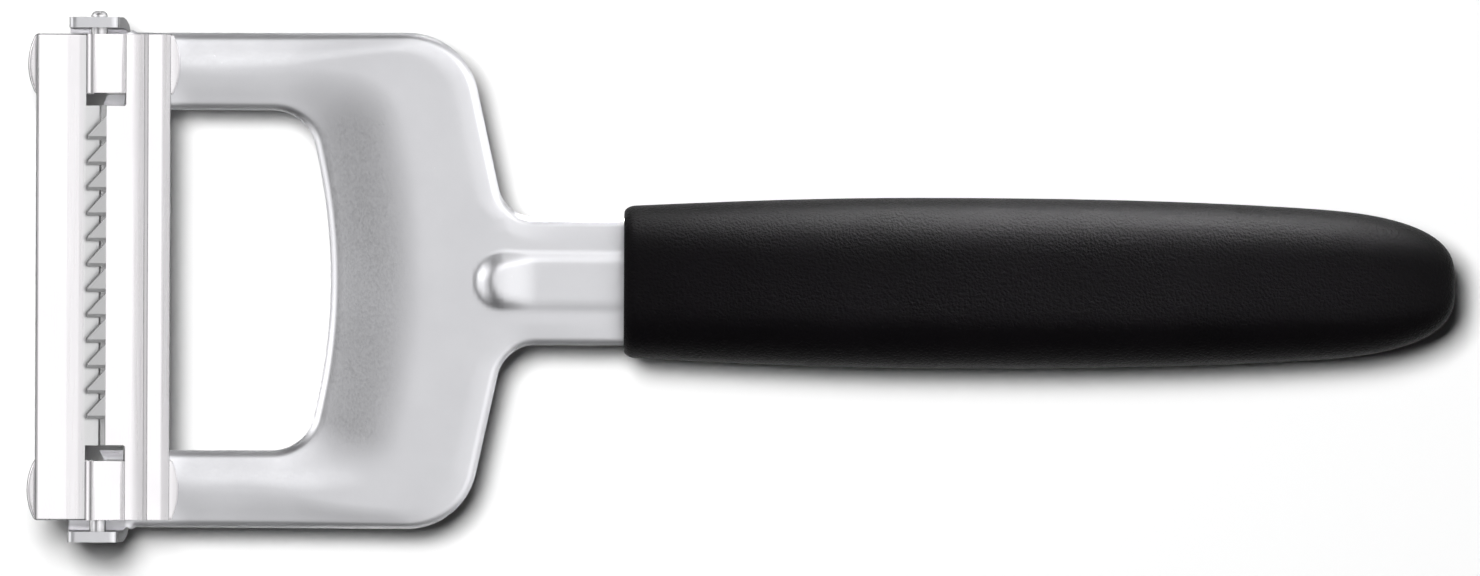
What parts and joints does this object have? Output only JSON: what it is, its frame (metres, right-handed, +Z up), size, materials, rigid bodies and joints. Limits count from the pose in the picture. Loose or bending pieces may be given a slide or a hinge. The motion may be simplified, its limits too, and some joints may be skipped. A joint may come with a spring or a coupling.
{
  "type": "julienne peeler",
  "caption": "Y-shaped julienne peeler: a knife strip and toothed guide swivel on pins in the ears of a stamped steel yoke, on a straight black moulded handle.",
  "frame": {"origin": "middle of the underside: the centre of the whole box, on the plane that the handle lies on", "axes": "+X from the blade head to the end of the handle, +Y along the blade, +Z up from the handle's flat belly"},
  "size_m": [0.1902, 0.0708, 0.0168],
  "materials": {
    "satin_steel": "satin",
    "blade_steel": "bright",
    "pin_steel": "bright",
    "black_handle": "fine grain"
  },
  "bodies": {
    "frame": {"yoke": "satin_steel", "handle": "black_handle"},
    "head": {"knife_strip": "blade_steel", "toothed_guide": "blade_steel", "right_saddle": "blade_steel", "left_saddle": "blade_steel", "right_pivot_pin": "pin_steel", "left_pivot_pin": "pin_steel"}
  },
  "joints": [
    {"name": "blade_swivel", "type": "hinge", "parent": "frame", "child": "head", "pos_m": [-0.08566, 0, 0.01243], "axis": [0, 1, 0], "range_deg": [-58, 0]}
  ]
}
